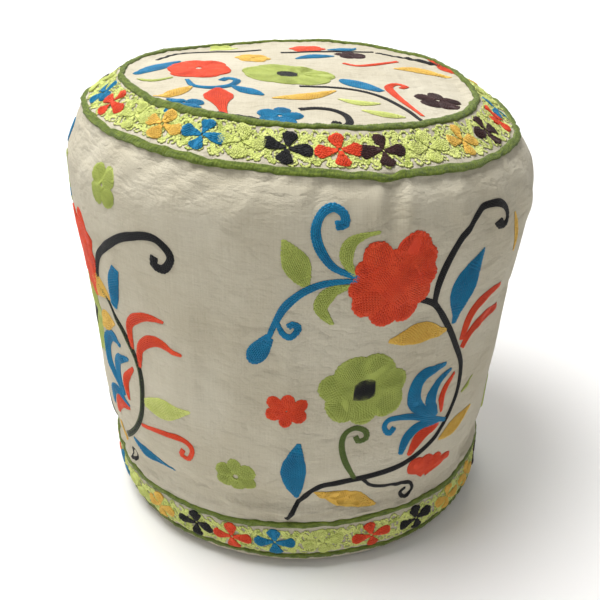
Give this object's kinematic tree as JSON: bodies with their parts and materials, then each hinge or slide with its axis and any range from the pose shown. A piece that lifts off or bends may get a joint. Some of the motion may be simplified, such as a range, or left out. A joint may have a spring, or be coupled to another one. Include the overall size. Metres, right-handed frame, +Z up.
{
  "type": "embroidered drum pouf",
  "caption": "Drum-shaped floor cushion: embroidered cotton canvas cover with raised cords and border bands, closed by a zip across its base over a filled inner bag.",
  "frame": {"origin": "centre of the base, on the floor", "axes": "+Z up the drum's axis; the zip across the base runs along X; the wall's closing seam faces +Y"},
  "size_m": [0.452, 0.452, 0.44],
  "materials": {
    "canvas": "unbleached woven cotton",
    "green_thread": "couched thread",
    "lime_thread": "stitched thread",
    "calico": "plain woven cotton",
    "fibre": "loose polyester fibre",
    "foam": "open-cell foam",
    "zip_tape": "woven tape",
    "zip_coil": "moulded nylon",
    "zip_metal": "aged"
  },
  "bodies": {
    "pouf_body": {"top_panel": "canvas", "side_panel": "canvas", "base_panel_front": "canvas", "base_panel_back": "canvas", "top_seam_binding": "canvas", "base_seam_binding": "canvas", "back_seam_binding": "canvas", "top_outer_cord": "green_thread", "top_inner_cord": "green_thread", "base_upper_cord": "green_thread", "base_lower_cord": "green_thread", "top_border": "lime_thread", "base_border": "lime_thread", "inner_bag_top": "calico", "inner_bag_side": "calico", "inner_bag_base": "calico", "fibre_crown": "fibre", "fibre_wrap": "fibre", "fibre_base_pad": "fibre", "foam_core": "foam", "zip_tape_front": "zip_tape", "zip_tape_back": "zip_tape", "zip_coil_front": "zip_coil", "zip_coil_back": "zip_coil", "zip_top_stop_front": "zip_metal", "zip_top_stop_back": "zip_metal", "zip_bottom_stop": "zip_metal"},
    "zip_slider": {"zip_slider": "zip_metal"},
    "zip_pull": {"zip_pull_tab": "zip_metal"}
  },
  "joints": [
    {"name": "zip_slide", "type": "slide", "parent": "pouf_body", "child": "zip_slider", "axis": [1, 0, 0], "range_m": [0, 0.278]},
    {"name": "zip_pull_swing", "type": "hinge", "parent": "zip_slider", "child": "zip_pull", "pos_m": [-0.1392, 0, 0.0058], "axis": [0, 1, 0], "range_deg": [0, 170]}
  ]
}
